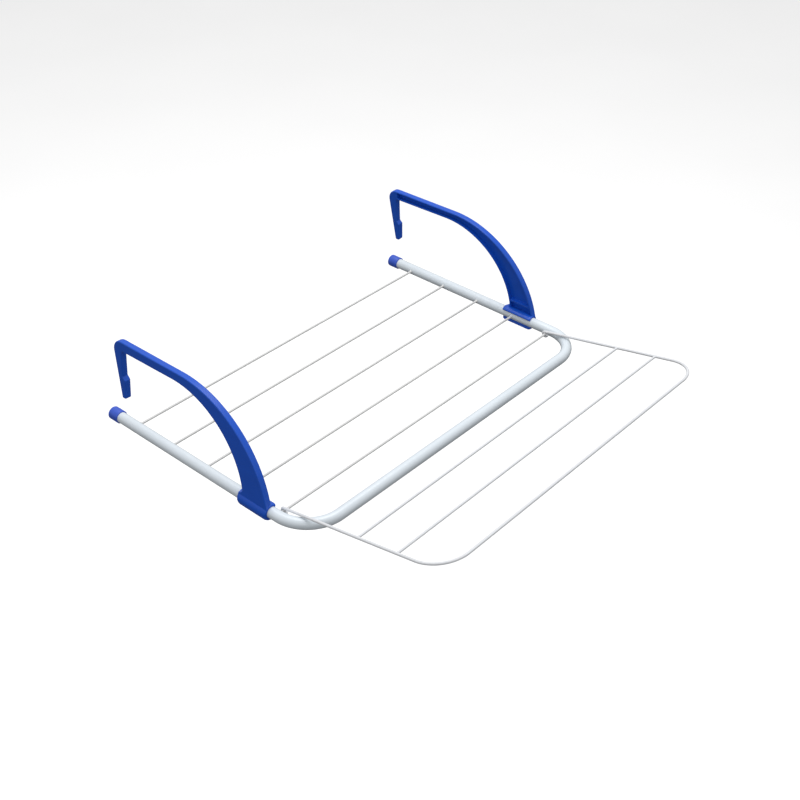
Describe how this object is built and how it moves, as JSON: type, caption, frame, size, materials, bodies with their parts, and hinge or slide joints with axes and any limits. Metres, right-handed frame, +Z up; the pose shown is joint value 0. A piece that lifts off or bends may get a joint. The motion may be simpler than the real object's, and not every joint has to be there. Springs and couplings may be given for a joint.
{
  "type": "hook-over folding drying rack",
  "caption": "Hook-over clothes airer: bent tube frame with cross wires, sliding moulded hook arms and a wire wing that folds out from the front.",
  "frame": {"origin": "midway between the two legs, level with their axes, in the plane of their capped free ends", "axes": "+Y towards the wall or rail the rack hangs from, +Z up, +X to the right seen from the room"},
  "size_m": [0.5274, 0.5146, 0.1312],
  "materials": {
    "tube_white": "white powder coat on steel tube, satin",
    "wire_white": "white powder coat on steel wire, satin",
    "wing_white": "white powder coat on thicker steel wire, satin",
    "arm_blue": "blue moulded polypropylene, semi-gloss",
    "cap_blue": "blue moulded polyethylene, semi-gloss"
  },
  "bodies": {
    "frame": {"frame_tube": "tube_white", "left_end_cap": "cap_blue", "right_end_cap": "cap_blue", "cross_wire_1": "wire_white", "cross_wire_2": "wire_white", "cross_wire_3": "wire_white", "cross_wire_4": "wire_white", "pivot_wire": "wire_white"},
    "left_arm": {"left_arm": "arm_blue"},
    "right_arm": {"right_arm": "arm_blue"},
    "wing": {"wing_frame": "wing_white", "wing_wire_1": "wire_white", "wing_wire_2": "wire_white"}
  },
  "joints": [
    {"name": "left_arm_slide", "type": "slide", "parent": "frame", "child": "left_arm", "axis": [0, 1, 0], "range_m": [-0.0075, 0.214]},
    {"name": "right_arm_slide", "type": "slide", "parent": "frame", "child": "right_arm", "axis": [0, 1, 0], "range_m": [-0.029, 0.1925]},
    {"name": "wing_fold", "type": "hinge", "parent": "frame", "child": "wing", "pos_m": [0, -0.2855, 0], "axis": [-1, 0, 0], "range_deg": [0, 161.6]}
  ]
}
